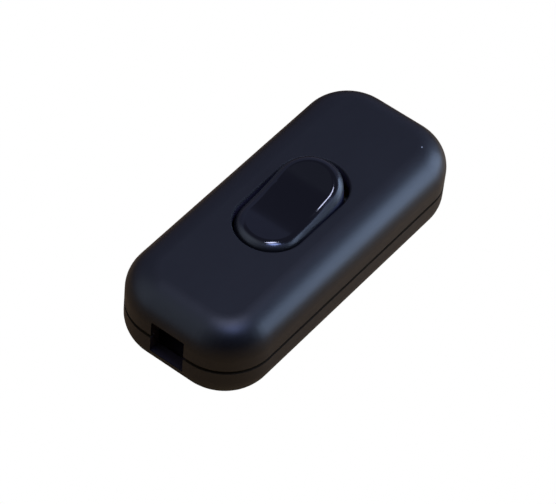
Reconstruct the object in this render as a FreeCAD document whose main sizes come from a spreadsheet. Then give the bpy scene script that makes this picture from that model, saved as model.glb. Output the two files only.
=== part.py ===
import FreeCAD, Part
import os

import Sketcher

# Inline cord switch: two housing halves, a rocker and a two-pole seesaw mechanism between two cord entries.
# X runs along the cord from the near entry (-X) to the far one, Z is up and z = 0 is the underside.

DRIVING = {
    # housing
    "case_length": 64.0,
    "case_width": 27.8,
    "case_height": 16.25,
    "split_height": 8.4,
    "corner_radius": 9.2,
    "top_edge_radius": 5.5,
    "bottom_edge_radius": 5.3,
    "wall_thickness": 2.2,
    "floor_thickness": 2.0,
    "join_depth": 0.4,
    "entry_level": 8.0,
    "entry_width": 6.8,
    "entry_height": 7.1,
    # joint between the halves
    "seam_height": 0.8,
    "seam_depth": 0.9,
    "lip_height": 1.2,
    "lip_thickness": 0.9,
    "lip_clearance": 0.1,
    # rocker and its bearing
    "slot_length": 24.0,
    "slot_width": 12.8,
    "slot_edge_radius": 0.3,
    "rocker_end_gap": 1.0,
    "rocker_side_gap": 0.35,
    "rocker_crown": 5.05,
    "rocker_skirt": 1.2,
    "rocker_wall": 1.4,
    "rocker_roof": 2.15,
    "rocker_rim_radius": 1.8,
    "facet_slope": 9.0,
    "valley_overrun": 0.5,
    "rest_tilt": 8.0,
    "pivot_drop": 4.65,
    "trunnion_radius": 1.5,
    "trunnion_length": 1.9,
    "bearing_clearance": 0.05,
    "cheek_thickness": 2.2,
    "cheek_length": 7.0,
    "cheek_drop": 2.2,
    # poles
    "pole_offset": 3.0,
    "barrel_radius": 2.1,
    "barrel_wall": 0.6,
    "barrel_gap": 1.56,
    "plunger_clearance": 0.05,
    "plunger_head_length": 1.6,
    "plunger_nose_flat": 0.04,
    "plunger_stem_radius": 0.75,
    "plunger_stem_length": 2.2,
    "tip_gap": 0.04,
    "spring_wire_radius": 0.2,
    "spring_turns": 5.0,
    "spring_clearance": 0.1,
    # contact blades and contacts
    "fulcrum_rise": 3.0,
    "fulcrum_foot": 1.2,
    "fulcrum_bend_inset": 2.4,
    "fulcrum_radius": 0.4,
    "fulcrum_clearance": 0.04,
    "blade_length": 16.4,
    "blade_width": 3.6,
    "blade_thickness": 0.8,
    "blade_seat": 0.2,
    "blade_tilt": 8.0,
    "contact_position": 6.8,
    "contact_radius": 1.2,
    "contact_height": 0.5,
    "contact_landing": 1.9,
    "fixed_bend_gap": 0.5,
    "rivet_radius": 0.6,
    "rivet_clearance": 0.02,
    "contact_clearance": 0.04,
    # terminals
    "strip_thickness": 0.8,
    "pillar_position": 13.2,
    "pillar_length": 5.0,
    "pillar_width": 4.4,
    "pillar_height": 5.0,
    "wire_bore_radius": 1.3,
    "wire_rise": 1.9,
    "terminal_screw_radius": 1.2,
    "terminal_screw_length": 3.4,
    "thread_clearance": 0.02,
    "driver_slot_width": 0.5,
    "driver_slot_depth": 0.6,
    "head_edge_radius": 0.5,
    "screw_tip_chamfer": 0.4,
    # cord grips
    "clamp_boss_gap": 0.6,
    "clamp_screw_offset": 6.2,
    "clamp_post_radius": 1.9,
    "clamp_head_gap": 1.0,
    "clamp_bar_length": 16.0,
    "clamp_bar_width": 3.6,
    "clamp_bar_thickness": 1.8,
    "clamp_tooth_height": 0.9,
    "clamp_tooth_width": 1.0,
    "clamp_screw_radius": 1.0,
    "clamp_screw_length": 7.0,
    "clamp_head_radius": 1.75,
    "clamp_head_height": 1.2,
    # case screws and locating pegs
    "boss_position": 23.6,
    "boss_offset": 5.95,
    "boss_radius": 2.4,
    "case_screw_radius": 1.2,
    "case_screw_length": 10.4,
    "case_screw_clearance": 0.15,
    "case_head_radius": 2.0,
    "case_head_height": 1.3,
    "counterbore_clearance": 0.2,
    "case_head_sink": 0.3,
    "peg_radius": 1.2,
    "peg_height": 2.0,
    "peg_clearance": 0.05,
    # ribs inside the lower half
    "barrier_thickness": 1.2,
    "barrier_height": 6.8,
    "rib_thickness": 0.8,
    "rib_clearance": 0.1,
}

# Values that follow from the driving dimensions
DERIVED = {
    "roof_height": "Sizes.case_height - Sizes.wall_thickness",
    "root_level": "Sizes.floor_thickness - Sizes.join_depth",
    "pivot_height": "Sizes.case_height - Sizes.pivot_drop",
    "fulcrum_height": "Sizes.floor_thickness + Sizes.fulcrum_rise",
    "entry_bottom": "Sizes.entry_level - Sizes.entry_height / 2",
    "entry_top": "Sizes.entry_level + Sizes.entry_height / 2",
    "rocker_length": "Sizes.slot_length - 2 * Sizes.rocker_end_gap",
    "rocker_width": "Sizes.slot_width - 2 * Sizes.rocker_side_gap",
    "valley_radius": "((rocker_length - rocker_width) / 2 + Sizes.valley_overrun) / sin(Sizes.facet_slope)",
    "bore_radius": "Sizes.barrel_radius - Sizes.barrel_wall",
    "ceiling_height": "Sizes.rocker_crown - Sizes.rocker_roof",
    "plunger_radius": "bore_radius - Sizes.plunger_clearance",
    "blade_top": "fulcrum_height + Sizes.blade_seat + Sizes.blade_thickness",
    "tip_reach": "pivot_height - blade_top - Sizes.tip_gap",
    "barrel_depth": "tip_reach - Sizes.barrel_gap",
    "shoulder_reach": "tip_reach - plunger_radius - Sizes.plunger_head_length",
    "spring_length": "ceiling_height + shoulder_reach - 2 * Sizes.spring_clearance",
    "spring_radius": "bore_radius - Sizes.spring_clearance - Sizes.spring_wire_radius",
    "stop_height": "fulcrum_height - Sizes.blade_length / 2 * sin(Sizes.blade_tilt)"
                   " + Sizes.blade_seat * cos(Sizes.blade_tilt) - Sizes.contact_clearance",
    "contact_reach": "Sizes.contact_position + Sizes.contact_radius",
    "closed_height": "fulcrum_height - contact_reach * sin(Sizes.blade_tilt)"
                     " + (Sizes.blade_seat - Sizes.contact_height) * cos(Sizes.blade_tilt)"
                     " - Sizes.contact_clearance",
    "strip_top": "Sizes.floor_thickness + Sizes.strip_thickness",
    "pedestal_height": "stop_height - Sizes.strip_thickness",
    "pillar_top": "pedestal_height + Sizes.pillar_height",
    "pillar_inner": "Sizes.pillar_position - Sizes.pillar_length / 2",
    "pillar_outer": "Sizes.pillar_position + Sizes.pillar_length / 2",
    "wire_height": "pedestal_height + Sizes.wire_rise",
    "fulcrum_bend": "Sizes.blade_length / 2 - Sizes.fulcrum_bend_inset",
    "fixed_bend": "Sizes.blade_length / 2 + Sizes.fixed_bend_gap",
    "clamp_position": "Sizes.boss_position - Sizes.boss_radius - Sizes.clamp_boss_gap"
                      " - Sizes.clamp_bar_width / 2",
    "clamp_top": "roof_height - Sizes.clamp_head_gap - Sizes.clamp_head_height",
    "clamp_post_height": "clamp_top - Sizes.clamp_bar_thickness",
    "counterbore_radius": "Sizes.case_head_radius + Sizes.counterbore_clearance",
    "counterbore_depth": "Sizes.case_head_height + Sizes.case_head_sink",
}

doc = FreeCAD.newDocument("inline_cord_switch")
sizes = doc.addObject("Spreadsheet::Sheet", "Sizes")
places = doc.addObject("Spreadsheet::Sheet", "Places")

SAME_PLACE = 1e-4


def fill_sheets():
    for row, (alias, size) in enumerate(DRIVING.items(), 1):
        sizes.set(f"A{row}", alias)
        sizes.set(f"B{row}", str(size))
        sizes.setAlias(f"B{row}", alias)
    for row, alias in enumerate(DERIVED, 1):
        places.set(f"A{row}", alias)
        places.setAlias(f"B{row}", alias)
    for row, formula in enumerate(DERIVED.values(), 1):
        places.set(f"B{row}", f"={formula}")
    doc.recompute()


def named(text):
    """Expression text in which each sheet alias is written with its sheet's name."""
    words = []
    word = ""
    for mark in text + " ":
        if mark.isalnum() or mark == "_":
            word += mark
            continue
        if word in DRIVING:
            word = "Sizes." + word
        elif word in DERIVED:
            word = "Places." + word
        words.append(word + mark)
        word = ""
    return "".join(words).strip()


def value(text):
    """Number that an expression text has now."""
    return float(sizes.evalExpression(named(text)))


class Sketch:
    """A sketch on one of its body's planes, with every size bound to an expression."""

    def __init__(self, body, plane, offset="0"):
        self.item = body.newObject("Sketcher::SketchObject", f"{body.Name}_sketch")
        support = next(f for f in body.Origin.OriginFeatures if f.Role == plane)
        self.item.AttachmentSupport = [(support, "")]
        self.item.MapMode = "FlatFace"
        self.item.setExpression("AttachmentOffset.Base.z", named(offset))
        self.count = 0

    def bind(self, kind, *where, to):
        self.count += 1
        index = self.item.addConstraint(Sketcher.Constraint(kind, *where, value(to)))
        self.item.renameConstraint(index, f"size_{self.count}")
        self.item.setExpression(f"Constraints.size_{self.count}", named(to))

    def tie(self, kind, *where):
        self.item.addConstraint(Sketcher.Constraint(kind, *where))

    def place(self, geometry, point, x, y):
        self.bind("DistanceX", -1, 1, geometry, point, to=x)
        self.bind("DistanceY", -1, 1, geometry, point, to=y)

    def circle(self, x, y, radius):
        centre = FreeCAD.Vector(value(x), value(y), 0)
        index = self.item.addGeometry(Part.Circle(centre, FreeCAD.Vector(0, 0, 1), value(radius)))
        self.place(index, 3, x, y)
        self.bind("Radius", index, to=radius)
        return self

    def polygon(self, *points):
        corners = [FreeCAD.Vector(value(x), value(y), 0) for x, y in points]
        first = self.item.GeometryCount
        total = len(corners)
        for k in range(total):
            self.item.addGeometry(Part.LineSegment(corners[k], corners[(k + 1) % total]))
        for k in range(total):
            self.tie("Coincident", first + k, 2, first + (k + 1) % total, 1)
        for k, (x, y) in enumerate(points):
            self.place(first + k, 1, x, y)
        return self

    def box(self, x0, x1, y0, y1):
        return self.polygon((x0, y0), (x1, y0), (x1, y1), (x0, y1))

    def rounded_box(self, length, width, radius):
        half_x = value(length) / 2
        half_y = value(width) / 2
        r = value(radius)
        first = self.item.GeometryCount
        quarter = FreeCAD.Units.Quantity("90 deg").getValueAs("rad").Value
        axis = FreeCAD.Vector(0, 0, 1)
        ends = []
        for k, (a, b) in enumerate(((1, 1), (-1, 1), (-1, -1), (1, -1))):
            ring = Part.Circle(FreeCAD.Vector(a * (half_x - r), b * (half_y - r), 0), axis, r)
            arc = Part.ArcOfCircle(ring, k * quarter, (k + 1) * quarter)
            self.item.addGeometry(arc)
            ends.append((arc.StartPoint, arc.EndPoint))
        for k in range(4):
            self.item.addGeometry(Part.LineSegment(ends[k][1], ends[(k + 1) % 4][0]))
        for k in range(4):
            self.tie("Tangent", first + k, 2, first + 4 + k, 1)
            self.tie("Tangent", first + 4 + k, 2, first + (k + 1) % 4, 1)
        self.tie("Horizontal", first + 4)
        self.tie("Vertical", first + 5)
        for k in range(1, 4):
            self.tie("Equal", first, first + k)
        self.bind("Radius", first, to=radius)
        self.place(first, 3, f"({length}) / 2 - ({radius})", f"({width}) / 2 - ({radius})")
        self.place(first + 2, 3, f"({radius}) - ({length}) / 2", f"({radius}) - ({width}) / 2")
        return self

    def obround(self, length, width, x="0", y="0", upright=False):
        """Slot outline round (x, y), along the sketch's X, or its Y when upright."""
        r = value(width) / 2
        reach = f"(({length}) - ({width})) / 2"
        far, near = (f"({x}) + {reach}", y), (f"({x}) - {reach}", y)
        if upright:
            far, near = (x, f"({y}) + {reach}"), (x, f"({y}) - {reach}")
        half_turn = FreeCAD.Units.Quantity("180 deg").getValueAs("rad").Value
        start = 0 if upright else -half_turn / 2
        first = self.item.GeometryCount
        arcs = []
        for k, (cx, cy) in enumerate((far, near)):
            ring = Part.Circle(FreeCAD.Vector(value(cx), value(cy), 0), FreeCAD.Vector(0, 0, 1), r)
            arcs.append(Part.ArcOfCircle(ring, start + k * half_turn, start + (k + 1) * half_turn))
            self.item.addGeometry(arcs[k])
        for k in range(2):
            self.item.addGeometry(Part.LineSegment(arcs[k].EndPoint, arcs[1 - k].StartPoint))
        for k in range(2):
            self.tie("Tangent", first + k, 2, first + 2 + k, 1)
            self.tie("Tangent", first + 2 + k, 2, first + 1 - k, 1)
        self.bind("Radius", first, to=f"({width}) / 2")
        self.place(first, 3, *far)
        self.place(first + 1, 3, *near)
        return self


class Piece:
    """A body that is built feature by feature."""

    def __init__(self, label):
        self.body = doc.addObject("PartDesign::Body", label)
        self.body.Label = label

    def on(self, plane, offset="0"):
        return Sketch(self.body, plane, offset)

    def extrude(self, kind, sketch, depth, reverse=False, symmetric=False):
        before = self.body.Shape.Volume if self.body.Tip else 0.0
        feature = self.body.newObject(f"PartDesign::{kind}", f"{self.body.Name}_{kind.lower()}")
        feature.Profile = sketch.item
        feature.SideType = "Symmetric" if symmetric else "One side"
        feature.Reversed = reverse
        feature.setExpression("Length", named(depth))
        doc.recompute()
        grown = self.body.Shape.Volume - before
        if (grown <= 0) == (kind == "Pad"):
            raise ValueError(f"{feature.Name} changes the volume by {grown}")
        return feature

    def pad(self, sketch, depth, **options):
        return self.extrude("Pad", sketch, depth, **options)

    def pocket(self, sketch, depth, **options):
        return self.extrude("Pocket", sketch, depth, **options)

    def dress(self, kind, size, chosen):
        """Fillet or Chamfer on the edges for which chosen(edge) holds."""
        base = self.body.Tip
        edges = [f"Edge{k}" for k, e in enumerate(base.Shape.Edges, 1) if chosen(e)]
        if not edges:
            raise ValueError(f"{self.body.Label} has no edge for its {kind}")
        feature = self.body.newObject(f"PartDesign::{kind}", f"{self.body.Name}_{kind.lower()}")
        feature.Base = (base, edges)
        feature.setExpression("Size" if kind == "Chamfer" else "Radius", named(size))
        doc.recompute()

    def put(self, x="0", y="0", z="0", turn="0"):
        """Place the body, turned round Y by an angle in degrees."""
        about_y = FreeCAD.Rotation(FreeCAD.Vector(0, 1, 0), 1)
        self.body.Placement = FreeCAD.Placement(FreeCAD.Vector(), about_y)
        self.body.setExpression("Placement.Base.x", named(x))
        self.body.setExpression("Placement.Base.y", named(y))
        self.body.setExpression("Placement.Base.z", named(z))
        self.body.setExpression("Placement.Rotation.Angle", named(turn))
        doc.recompute()


def lies_at(z, reach="case_length"):
    """Test for an edge that lies in the level plane z, no further out in X than reach."""
    height = value(z)
    limit = value(reach) + SAME_PLACE

    def test(edge):
        box = edge.BoundBox
        level = max(abs(box.ZMin - height), abs(box.ZMax - height)) < SAME_PLACE
        return level and max(-box.XMin, box.XMax) < limit

    return test


def lies_above(z):
    """Test for an edge that lies above the level plane z, and not straight across in Y."""
    height = value(z)
    return lambda edge: edge.BoundBox.ZMin > height and edge.BoundBox.XLength > SAME_PLACE


def four_corners(x, y):
    return [(f"{a}({x})", f"{b}({y})") for a in ("", "-") for b in ("", "-")]


def lower_housing():
    piece = Piece("lower_housing")
    outline = ("case_length", "case_width", "corner_radius")
    piece.pad(piece.on("XY_Plane").rounded_box(*outline), "split_height")
    piece.dress("Fillet", "bottom_edge_radius", lies_at("0"))
    inset = "2 * wall_thickness"
    hollow = (f"case_length - {inset}", f"case_width - {inset}", "corner_radius - wall_thickness")
    piece.pocket(piece.on("XY_Plane", "split_height").rounded_box(*hollow), "split_height - floor_thickness")
    piece.dress("Fillet", "bottom_edge_radius - wall_thickness", lies_at("floor_thickness"))
    # lip that the upper half slips over
    lip_out = "2 * (wall_thickness - lip_thickness)"
    lip = piece.on("XY_Plane", "split_height")
    lip_corner = "corner_radius - wall_thickness + lip_thickness"
    lip.rounded_box(f"case_length - {lip_out}", f"case_width - {lip_out}", lip_corner)
    lip.rounded_box(*hollow)
    piece.pad(lip, "lip_height")
    # shadow line round the outside
    seam = piece.on("XY_Plane", "split_height")
    for sign in ("+", "-"):
        seam.rounded_box(f"case_length {sign} 2 * seam_depth", f"case_width {sign} 2 * seam_depth",
                         f"corner_radius {sign} seam_depth")
    piece.pocket(seam, "seam_height")
    # bosses for case screws and pegs, and posts of the cord grips
    bosses = piece.on("XY_Plane", "root_level")
    for x, y in four_corners("boss_position", "boss_offset"):
        bosses.circle(x, y, "boss_radius")
    piece.pad(bosses, "split_height - root_level")
    posts = piece.on("XY_Plane", "root_level")
    for x, y in four_corners("clamp_position", "clamp_screw_offset"):
        posts.circle(x, y, "clamp_post_radius")
    piece.pad(posts, "clamp_post_height - root_level")
    # ribs that carry the cord under the grip
    saddles = piece.on("XY_Plane", "root_level")
    half = "(clamp_screw_offset - clamp_post_radius / 2)"
    for a in ("", "-"):
        for b in ("+", "-"):
            x = f"{a}clamp_position {b} (clamp_bar_width - rib_thickness) / 2"
            saddles.box(f"{x} - rib_thickness / 2", f"{x} + rib_thickness / 2", f"-{half}", half)
    piece.pad(saddles, "entry_bottom - root_level")
    # pedestals under the terminals, side ribs beside their pillars and the barrier between the poles
    side = "pole_offset + pillar_width / 2 + rib_clearance"
    pedestals = piece.on("XY_Plane", "root_level")
    ribs = piece.on("XY_Plane", "root_level")
    for a in ("", "-"):
        pedestals.box(f"{a}(pillar_inner - rib_thickness)", f"{a}(pillar_outer + rib_thickness)",
                      f"-({side} + rib_thickness)", f"{side} + rib_thickness")
        for b in ("", "-"):
            ribs.box(f"{a}(pillar_inner - rib_thickness)", f"{a}(pillar_outer + rib_thickness)",
                     f"{b}({side})", f"{b}({side} + rib_thickness)")
    piece.pad(pedestals, "pedestal_height - root_level")
    piece.pad(ribs, "wire_height - root_level")
    barrier = piece.on("XY_Plane", "root_level")
    barrier.box("-pillar_outer", "pillar_outer", "-barrier_thickness / 2", "barrier_thickness / 2")
    piece.pad(barrier, "barrier_height - root_level")
    # posts that close the rocker's bearings from below
    props = piece.on("XY_Plane", "root_level")
    for b in ("", "-"):
        props.box("rib_clearance - trunnion_radius", "trunnion_radius - rib_clearance",
                  f"{b}(slot_width / 2 + rib_clearance)", f"{b}(slot_width / 2 + cheek_thickness)")
    piece.pad(props, "pivot_height - trunnion_radius - bearing_clearance - root_level")
    pegs = piece.on("XY_Plane", "split_height - join_depth")
    for a, b in (("", "-"), ("-", "")):
        pegs.circle(f"{a}boss_position", f"{b}boss_offset", "peg_radius")
    piece.pad(pegs, "join_depth + peg_height")
    # holes
    screw_holes = piece.on("XY_Plane")
    counterbores = piece.on("XY_Plane")
    for a in ("", "-"):
        screw_holes.circle(f"{a}boss_position", f"{a}boss_offset", "case_screw_radius + case_screw_clearance")
        counterbores.circle(f"{a}boss_position", f"{a}boss_offset", "counterbore_radius")
    piece.pocket(screw_holes, "split_height", reverse=True)
    piece.pocket(counterbores, "counterbore_depth", reverse=True)
    pilots = piece.on("XY_Plane", "clamp_post_height")
    for x, y in four_corners("clamp_position", "clamp_screw_offset"):
        pilots.circle(x, y, "clamp_screw_radius + thread_clearance")
    piece.pocket(pilots, "clamp_screw_length - clamp_bar_thickness + rib_clearance")
    cut_entries(piece)
    return piece.body


def cut_entries(piece):
    """Cut the cord entry through both end walls, from outside to past the lip."""
    for end in ("", "-"):
        entry = piece.on("YZ_Plane", f"{end}case_length / 2")
        entry.box("-entry_width / 2", "entry_width / 2", "entry_bottom", "entry_top")
        piece.pocket(entry, "2 * wall_thickness", reverse=end == "-")


def upper_housing():
    piece = Piece("upper_housing")
    outline = ("case_length", "case_width", "corner_radius")
    piece.pad(piece.on("XY_Plane", "split_height").rounded_box(*outline), "case_height - split_height")
    piece.dress("Fillet", "top_edge_radius", lies_at("case_height"))
    inset = "2 * wall_thickness"
    hollow = (f"case_length - {inset}", f"case_width - {inset}", "corner_radius - wall_thickness")
    inside = piece.on("XY_Plane", "split_height").rounded_box(*hollow)
    piece.pocket(inside, "roof_height - split_height", reverse=True)
    piece.dress("Fillet", "top_edge_radius - wall_thickness", lies_at("roof_height"))
    # rebate for the lower half's lip
    wider = "2 * (wall_thickness - lip_thickness - lip_clearance)"
    rebate = piece.on("XY_Plane", "split_height")
    rebate.rounded_box(f"case_length - {wider}", f"case_width - {wider}",
                       "corner_radius - wall_thickness + lip_thickness + lip_clearance")
    piece.pocket(rebate, "lip_height + lip_clearance", reverse=True)
    bosses = piece.on("XY_Plane", "split_height")
    for x, y in four_corners("boss_position", "boss_offset"):
        bosses.circle(x, y, "boss_radius")
    piece.pad(bosses, "roof_height - split_height + join_depth")
    # cheeks that carry the rocker's trunnions
    cheek_bottom = "pivot_height - cheek_drop"
    cheeks = piece.on("XY_Plane", cheek_bottom)
    for b in ("", "-"):
        cheeks.box("-cheek_length / 2", "cheek_length / 2",
                   f"{b}slot_width / 2", f"{b}(slot_width / 2 + cheek_thickness)")
    piece.pad(cheeks, f"roof_height - ({cheek_bottom}) + join_depth")
    bearing = piece.on("XZ_Plane")
    run = "trunnion_radius + bearing_clearance"
    bearing.obround(f"2 * cheek_drop + 2 * ({run})", f"2 * ({run})", y=cheek_bottom, upright=True)
    piece.pocket(bearing, "slot_width + 2 * cheek_thickness", symmetric=True)
    slot = piece.on("XY_Plane", "case_height").obround("slot_length", "slot_width")
    piece.pocket(slot, "case_height - split_height")
    piece.dress("Fillet", "slot_edge_radius", lies_at("case_height", "slot_length / 2"))
    # pilot holes of the case screws and sockets of the pegs
    pilots = piece.on("XY_Plane", "split_height")
    sockets = piece.on("XY_Plane", "split_height")
    for a, b in (("", "-"), ("-", "")):
        pilots.circle(f"{a}boss_position", f"{a}boss_offset", "case_screw_radius + thread_clearance")
        sockets.circle(f"{a}boss_position", f"{b}boss_offset", "peg_radius + peg_clearance")
    piece.pocket(pilots, "counterbore_depth + case_screw_length - split_height + rib_clearance", reverse=True)
    piece.pocket(sockets, "peg_height + rib_clearance", reverse=True)
    cut_entries(piece)
    return piece.body


def rocker():
    piece = Piece("rocker")
    bottom = "-rocker_skirt"
    rise = "rocker_length / 2 * tan(facet_slope)"
    outline = piece.on("XY_Plane", bottom).obround("rocker_length", "rocker_width")
    piece.pad(outline, f"rocker_skirt + rocker_crown + {rise}")
    # two finger facets that meet in a wide soft valley over the pivot
    reach = "rocker_length"
    top = f"rocker_crown + {reach} * tan(facet_slope)"
    facets = piece.on("XZ_Plane").polygon(("0", "rocker_crown"), (reach, top), (f"-{reach}", top))
    piece.pocket(facets, "2 * rocker_width", symmetric=True)
    piece.dress("Fillet", "valley_radius", lies_at("rocker_crown"))
    piece.dress("Fillet", "rocker_rim_radius", lies_above("rocker_crown"))
    hollow = piece.on("XY_Plane", bottom)
    hollow.obround("rocker_length - 2 * rocker_wall", "rocker_width - 2 * rocker_wall")
    piece.pocket(hollow, "rocker_skirt + ceiling_height", reverse=True)
    barrels = piece.on("XY_Plane", "-barrel_depth")
    bores = piece.on("XY_Plane", "-barrel_depth")
    for b in ("", "-"):
        barrels.circle("0", f"{b}pole_offset", "barrel_radius")
        bores.circle("0", f"{b}pole_offset", "bore_radius")
    piece.pad(barrels, "barrel_depth + ceiling_height + join_depth")
    web = piece.on("XY_Plane", bottom)
    half = "(rocker_length - rocker_wall) / 2"
    web.box(f"-{half}", half, "-rib_thickness / 2", "rib_thickness / 2")
    piece.pad(web, "rocker_skirt + ceiling_height + join_depth")
    piece.pocket(bores, "barrel_depth + ceiling_height", reverse=True)
    for side in ("", "-"):
        pin = piece.on("XZ_Plane", f"{side}(rocker_width / 2 - rocker_wall / 2)")
        pin.circle("0", "0", "trunnion_radius")
        piece.pad(pin, "trunnion_length + rocker_wall / 2", reverse=side == "-")
    piece.put(z="pivot_height", turn="-rest_tilt")
    return piece.body


def ride_rocker(piece, side):
    """Place a piece that is drawn round a barrel's axis, from the pivot, into the tilted rocker."""
    piece.put(y=f"{side}pole_offset", z="pivot_height", turn="-rest_tilt")


def plunger(name, side):
    piece = Piece(f"plunger_{name}")
    head = piece.on("XY_Plane", "-tip_reach").circle("0", "0", "plunger_radius")
    piece.pad(head, "tip_reach - shoulder_reach")
    piece.dress("Fillet", "plunger_radius - plunger_nose_flat", lies_at("-tip_reach"))
    stem = piece.on("XY_Plane", "-shoulder_reach").circle("0", "0", "plunger_stem_radius")
    piece.pad(stem, "plunger_stem_length")
    ride_rocker(piece, side)
    return piece.body


def plunger_spring(name, side):
    piece = Piece(f"plunger_spring_{name}")
    wire = piece.on("XZ_Plane")
    bottom = "-shoulder_reach + spring_clearance"
    wire.circle("spring_radius", f"{bottom} + spring_wire_radius", "spring_wire_radius")
    coil = piece.body.newObject("PartDesign::AdditiveHelix", f"{piece.body.Name}_coil")
    coil.Profile = wire.item
    coil.ReferenceAxis = (wire.item, ["V_Axis"])
    coil.Mode = "height-turns-angle"
    coil.setExpression("Height", named("spring_length - 2 * spring_wire_radius"))
    coil.setExpression("Turns", named("spring_turns"))
    doc.recompute()
    ride_rocker(piece, side)
    return piece.body


def contact_blade(name, side):
    piece = Piece(f"contact_blade_{name}")
    half = "blade_length / 2"
    strip = piece.on("XZ_Plane").box(f"-{half}", half, "blade_seat", "blade_seat + blade_thickness")
    piece.pad(strip, "blade_width", symmetric=True)
    groove = piece.on("XZ_Plane").circle("0", "0", "fulcrum_radius + fulcrum_clearance")
    piece.pocket(groove, "2 * blade_width", symmetric=True)
    hole = piece.on("XY_Plane").circle("-contact_position", "0", "rivet_radius + rivet_clearance")
    piece.pocket(hole, "blade_seat + 2 * blade_thickness", reverse=True)
    piece.put(y=f"{side}pole_offset", z="fulcrum_height", turn="blade_tilt")
    return piece.body


def rivet(label, x, shank_bottom, shank_length, head_bottom, head_height):
    piece = Piece(label)
    piece.pad(piece.on("XY_Plane", head_bottom).circle(x, "0", "contact_radius"), head_height)
    piece.pad(piece.on("XY_Plane", shank_bottom).circle(x, "0", "rivet_radius"), shank_length)
    return piece


def moving_contact(name, side):
    piece = rivet(f"moving_contact_{name}", "-contact_position", "blade_seat - contact_height / 2",
                  "contact_height / 2 + blade_thickness", "blade_seat - contact_height", "contact_height")
    piece.put(y=f"{side}pole_offset", z="fulcrum_height", turn="blade_tilt")
    return piece.body


def fixed_contact(name, side):
    piece = rivet(f"fixed_contact_{name}", "-contact_position", "floor_thickness",
                  "strip_thickness + contact_height / 2", "strip_top", "closed_height - strip_top")
    piece.put(y=f"{side}pole_offset")
    return piece.body


def terminal_pillar(piece, side):
    """Pillar at the end of a terminal strip, with its wire bore and tapped hole."""
    x0, x1 = f"{side}pillar_inner", f"{side}pillar_outer"
    block = piece.on("XZ_Plane").box(x0, x1, "pedestal_height", "pillar_top")
    piece.pad(block, "pillar_width", symmetric=True)
    bore = piece.on("YZ_Plane", f"{side}pillar_position").circle("0", "wire_height", "wire_bore_radius")
    piece.pocket(bore, "2 * pillar_length", symmetric=True)
    tapped = piece.on("XY_Plane", "pillar_top")
    tapped.circle(f"{side}pillar_position", "0", "terminal_screw_radius + thread_clearance")
    piece.pocket(tapped, "pillar_top - wire_height")


def bent_strip(piece, side, inner, bend):
    """Strip that lies on the floor from inner to bend and then steps up onto its pedestal."""
    step = "strip_thickness"
    rise = f"{bend} + {step} / 2"
    end = f"{side}(pillar_inner + {step})"
    strip = piece.on("XZ_Plane")
    strip.polygon((inner, "floor_thickness"), (f"{side}({rise})", "floor_thickness"),
                  (f"{side}({rise} + {step})", "pedestal_height"), (end, "pedestal_height"),
                  (end, "stop_height"), (f"{side}({bend} + {step})", "stop_height"),
                  (f"{side}{bend}", "strip_top"), (inner, "strip_top"))
    piece.pad(strip, "blade_width", symmetric=True)


def fulcrum_terminal(name, side):
    piece = Piece(f"fulcrum_terminal_{name}")
    bent_strip(piece, "", "-fulcrum_foot", "fulcrum_bend")
    upright = piece.on("XZ_Plane")
    upright.box("-fulcrum_radius", "fulcrum_radius", "floor_thickness", "fulcrum_height")
    piece.pad(upright, "blade_width", symmetric=True)
    edge = piece.on("XZ_Plane").circle("0", "fulcrum_height", "fulcrum_radius")
    piece.pad(edge, "blade_width", symmetric=True)
    terminal_pillar(piece, "")
    piece.put(y=f"{side}pole_offset")
    return piece.body


def fixed_terminal(name, side):
    piece = Piece(f"fixed_terminal_{name}")
    bent_strip(piece, "-", "contact_landing - contact_position", "fixed_bend")
    hole = piece.on("XY_Plane", "strip_top")
    hole.circle("-contact_position", "0", "rivet_radius + rivet_clearance")
    piece.pocket(hole, "2 * strip_thickness")
    terminal_pillar(piece, "-")
    piece.put(y=f"{side}pole_offset")
    return piece.body


def cord_clamp(name, side):
    piece = Piece(f"{name}_cord_clamp")
    bar = piece.on("XY_Plane", "clamp_post_height")
    bar.obround("clamp_bar_length", "clamp_bar_width", x=f"{side}clamp_position", upright=True)
    piece.pad(bar, "clamp_bar_thickness")
    tooth = piece.on("XZ_Plane")
    x = f"{side}clamp_position"
    low = "clamp_post_height - clamp_tooth_height"
    tooth.polygon((f"{x} - clamp_tooth_width", "clamp_post_height"), (f"{x} - clamp_tooth_width / 4", low),
                  (f"{x} + clamp_tooth_width / 4", low), (f"{x} + clamp_tooth_width", "clamp_post_height"))
    piece.pad(tooth, "entry_width", symmetric=True)
    holes = piece.on("XY_Plane", "clamp_top")
    for b in ("", "-"):
        holes.circle(x, f"{b}clamp_screw_offset", "clamp_screw_radius + case_screw_clearance")
    piece.pocket(holes, "2 * clamp_bar_thickness")
    return piece.body


def headed_screw(label, head_radius, head_height, radius, length):
    """Screw along Z with its head above z = 0, slotted across the top."""
    piece = Piece(label)
    piece.pad(piece.on("XY_Plane").circle("0", "0", head_radius), head_height)
    piece.dress("Fillet", "head_edge_radius", lies_at(head_height))
    slot = piece.on("XY_Plane", head_height)
    slot.box(f"-2 * {head_radius}", f"2 * {head_radius}", "-driver_slot_width / 2", "driver_slot_width / 2")
    piece.pocket(slot, "driver_slot_depth")
    piece.pad(piece.on("XY_Plane", f"-{length}").circle("0", "0", radius), f"{length} + join_depth")
    piece.dress("Chamfer", "screw_tip_chamfer", lies_at(f"-{length}"))
    return piece.body


def grub_screw(label):
    piece = Piece(label)
    piece.pad(piece.on("XY_Plane").circle("0", "0", "terminal_screw_radius"), "terminal_screw_length")
    slot = piece.on("XY_Plane", "terminal_screw_length")
    slot.box("-2 * terminal_screw_radius", "2 * terminal_screw_radius",
             "-driver_slot_width / 2", "driver_slot_width / 2")
    piece.pocket(slot, "driver_slot_depth")
    piece.dress("Chamfer", "screw_tip_chamfer", lies_at("0"))
    return piece.body


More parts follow.
